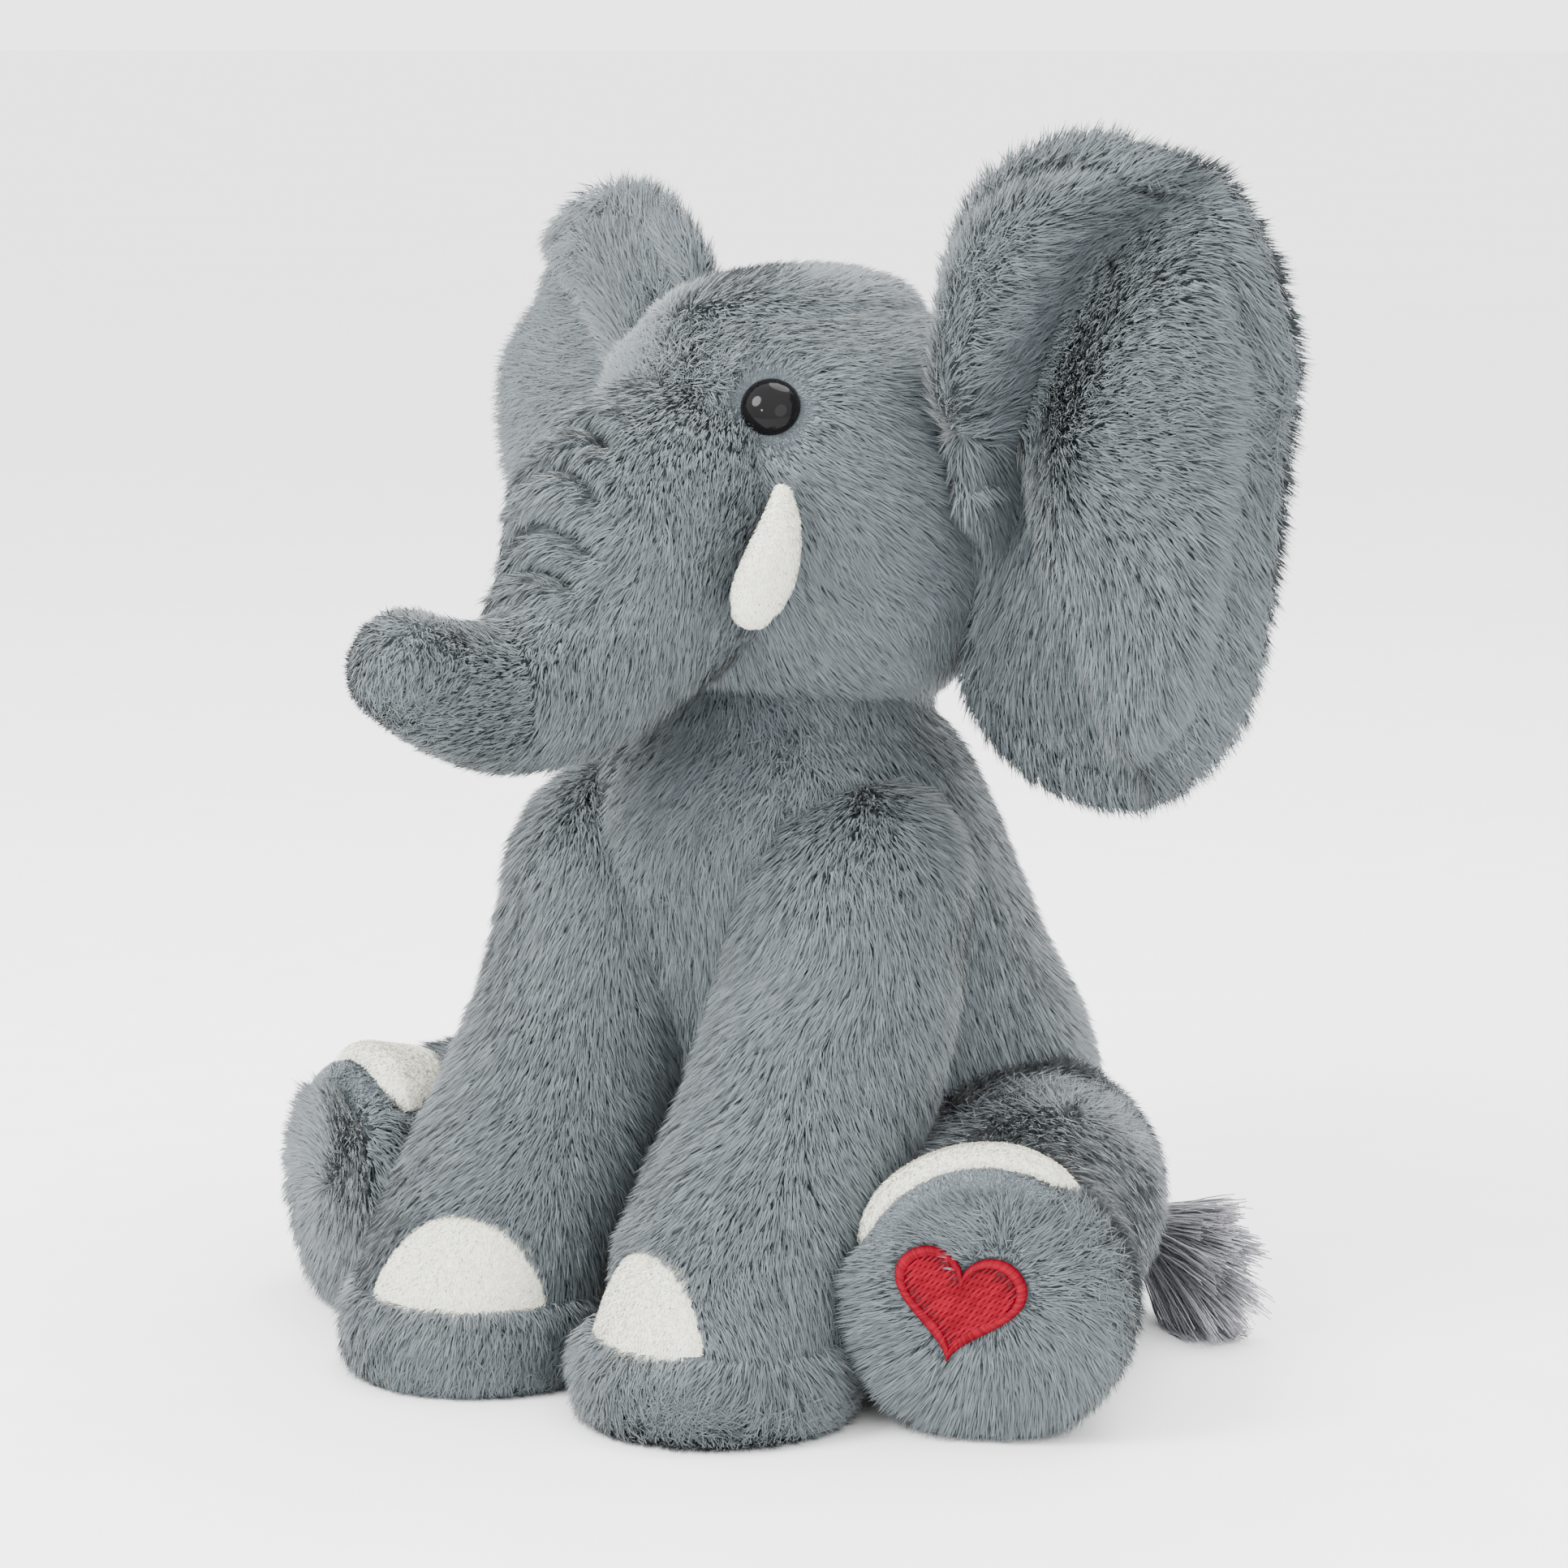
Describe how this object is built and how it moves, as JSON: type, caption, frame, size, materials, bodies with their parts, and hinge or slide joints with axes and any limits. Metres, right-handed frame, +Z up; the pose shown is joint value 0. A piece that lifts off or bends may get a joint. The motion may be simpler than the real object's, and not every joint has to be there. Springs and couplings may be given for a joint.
{
  "type": "stuffed elephant",
  "caption": "Sitting plush elephant with wide ears, an upturned trunk, white tusks and toes, and a heart stitched on one hind sole.",
  "frame": {"origin": "centre of the flat seat panel's underside, on the floor", "axes": "+Z up, -Y the way the torso faces, +X the elephant's left"},
  "size_m": [0.2525, 0.2259, 0.2864],
  "materials": {
    "grey_plush": "long soft pile, matt, lighter at the tips",
    "white_minky": "short smooth pile, matt",
    "stuffing": "loose polyester fibre",
    "pouch_cloth": "plain non-woven cloth",
    "eye_black": "polished",
    "washer_plastic": "as moulded",
    "heart_thread": "satin-stitch embroidery, a slight sheen",
    "grey_yarn": "loose twisted yarn, matt",
    "dark_thread": "sewing thread, matt"
  },
  "bodies": {
    "torso": {"torso_skin": "grey_plush", "torso_stuffing": "stuffing", "seat_panel": "grey_plush", "pellet_pouch": "pouch_cloth"},
    "head": {"head_skin": "grey_plush", "head_stuffing": "stuffing", "trunk_skin": "grey_plush", "trunk_stuffing": "stuffing", "trunk_wrinkle_thread_1": "dark_thread", "trunk_wrinkle_thread_2": "dark_thread", "trunk_wrinkle_thread_3": "dark_thread", "trunk_wrinkle_thread_4": "dark_thread", "left_eye": "eye_black", "left_eye_washer": "washer_plastic", "left_tusk_skin": "white_minky", "left_tusk_stuffing": "stuffing", "right_eye": "eye_black", "right_eye_washer": "washer_plastic", "right_tusk_skin": "white_minky", "right_tusk_stuffing": "stuffing"},
    "left_ear": {"left_ear_front": "grey_plush", "left_ear_back": "grey_plush", "left_ear_wadding": "stuffing"},
    "right_ear": {"right_ear_front": "grey_plush", "right_ear_back": "grey_plush", "right_ear_wadding": "stuffing"},
    "left_arm": {"left_arm_skin": "grey_plush", "left_arm_stuffing": "stuffing", "left_arm_toe_patch": "white_minky", "left_arm_sole": "grey_plush"},
    "left_leg": {"left_leg_skin": "grey_plush", "left_leg_stuffing": "stuffing", "left_leg_toe_patch": "white_minky", "left_leg_sole": "grey_plush", "heart_embroidery": "heart_thread"},
    "right_arm": {"right_arm_skin": "grey_plush", "right_arm_stuffing": "stuffing", "right_arm_toe_patch": "white_minky", "right_arm_sole": "grey_plush"},
    "right_leg": {"right_leg_skin": "grey_plush", "right_leg_stuffing": "stuffing", "right_leg_toe_patch": "white_minky", "right_leg_sole": "grey_plush"},
    "tail": {"tail_cord": "grey_plush", "tail_binding": "grey_yarn", "tail_tassel": "grey_yarn"}
  },
  "joints": [
    {"name": "neck_turn", "type": "hinge", "parent": "torso", "child": "head", "pos_m": [0, -0.015, 0.152], "axis": [0, 0, 1], "range_deg": [-15, 15], "stiffness_Nm_per_rad": 0.5},
    {"name": "left_ear_flap", "type": "hinge", "parent": "head", "child": "left_ear", "pos_m": [0.04516, -0.00524, 0.20949], "axis": [0.1022, -0.0217, -0.9945], "range_deg": [-10, 25], "stiffness_Nm_per_rad": 0.06},
    {"name": "left_arm_swing", "type": "hinge", "parent": "torso", "child": "left_arm", "pos_m": [0.035, -0.036, 0.112], "axis": [-1, 0, 0], "range_deg": [0, 15], "stiffness_Nm_per_rad": 0.3},
    {"name": "left_leg_splay", "type": "hinge", "parent": "torso", "child": "left_leg", "pos_m": [0.058, 0.004, 0.0365], "axis": [0, 0, 1], "range_deg": [0, 20], "stiffness_Nm_per_rad": 0.3},
    {"name": "right_ear_flap", "type": "hinge", "parent": "head", "child": "right_ear", "pos_m": [-0.0385, 0.01254, 0.20051], "axis": [-0.1022, 0.0217, 0.9945], "range_deg": [-10, 25], "stiffness_Nm_per_rad": 0.06},
    {"name": "right_arm_swing", "type": "hinge", "parent": "torso", "child": "right_arm", "pos_m": [-0.035, -0.036, 0.112], "axis": [-1, 0, 0], "range_deg": [0, 15], "stiffness_Nm_per_rad": 0.3},
    {"name": "right_leg_splay", "type": "hinge", "parent": "torso", "child": "right_leg", "pos_m": [-0.058, 0.004, 0.0365], "axis": [0, 0, -1], "range_deg": [0, 20], "stiffness_Nm_per_rad": 0.3},
    {"name": "tail_swing", "type": "hinge", "parent": "torso", "child": "tail", "pos_m": [0, 0.0765, 0.038], "axis": [0, 0, 1], "range_deg": [0, 80], "stiffness_Nm_per_rad": 0.03}
  ]
}
